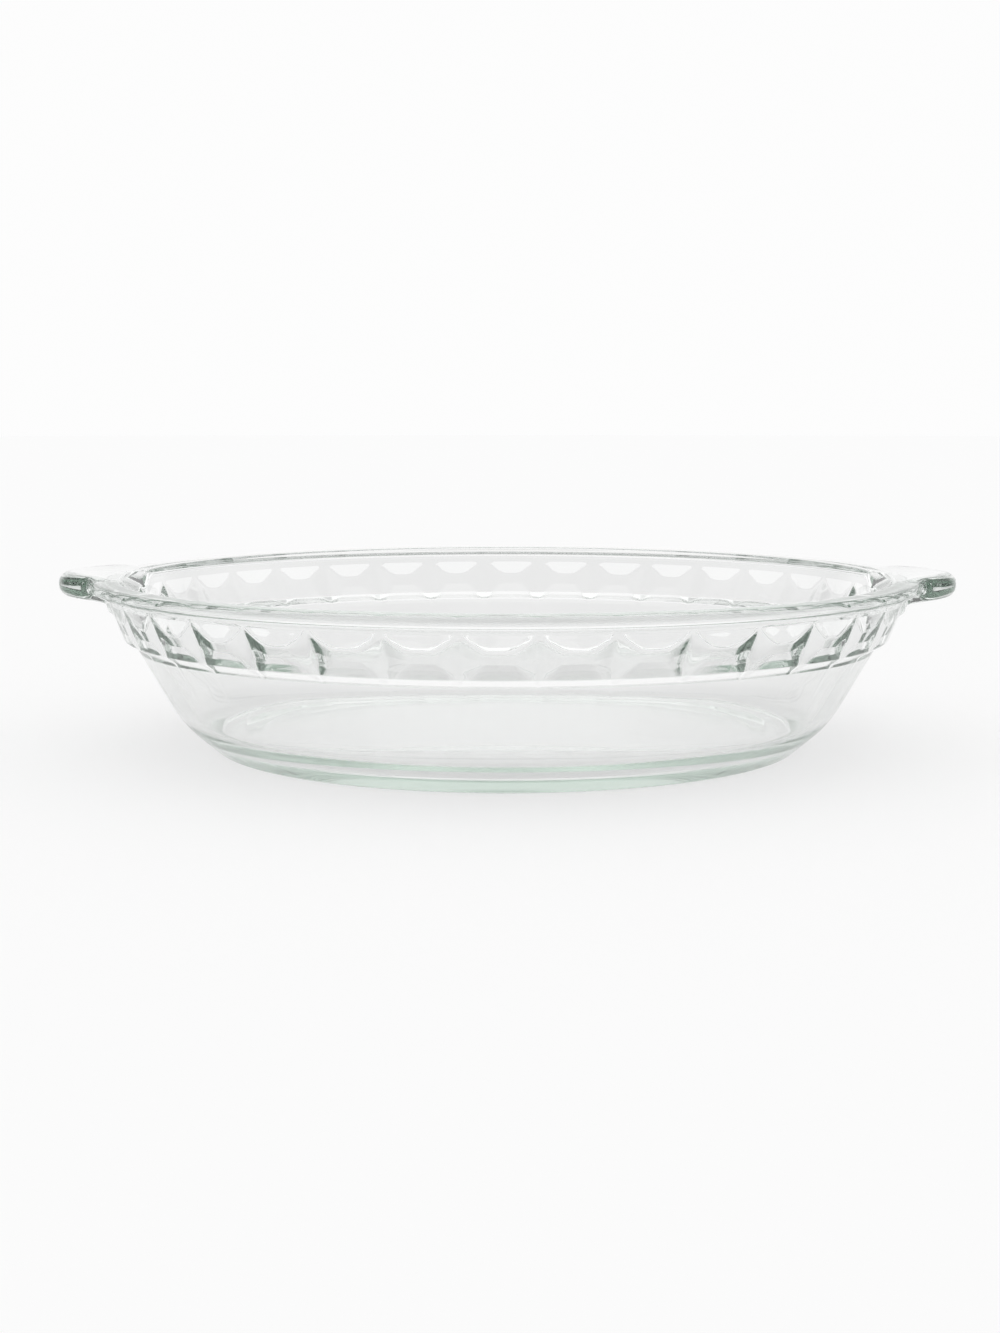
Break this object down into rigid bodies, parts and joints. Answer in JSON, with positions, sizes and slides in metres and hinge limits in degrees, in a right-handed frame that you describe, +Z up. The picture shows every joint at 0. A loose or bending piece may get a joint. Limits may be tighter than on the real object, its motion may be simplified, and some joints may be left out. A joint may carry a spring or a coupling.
{
  "type": "pie dish",
  "caption": "Deep round pie dish of clear pressed glass with a fluted band of raised panels, a flat overhanging lip and two solid tab handles.",
  "frame": {"origin": "on the resting surface, under the middle of the round base", "axes": "+Z up out of the bowl, X through the two handles, Y across them"},
  "size_m": [0.273, 0.249, 0.052],
  "materials": {
    "clear_glass": "clear pressed glass, fire polished, with a faint green tint in thick places"
  },
  "bodies": {
    "root": {"glass_dish": "clear_glass"}
  },
  "joints": []
}
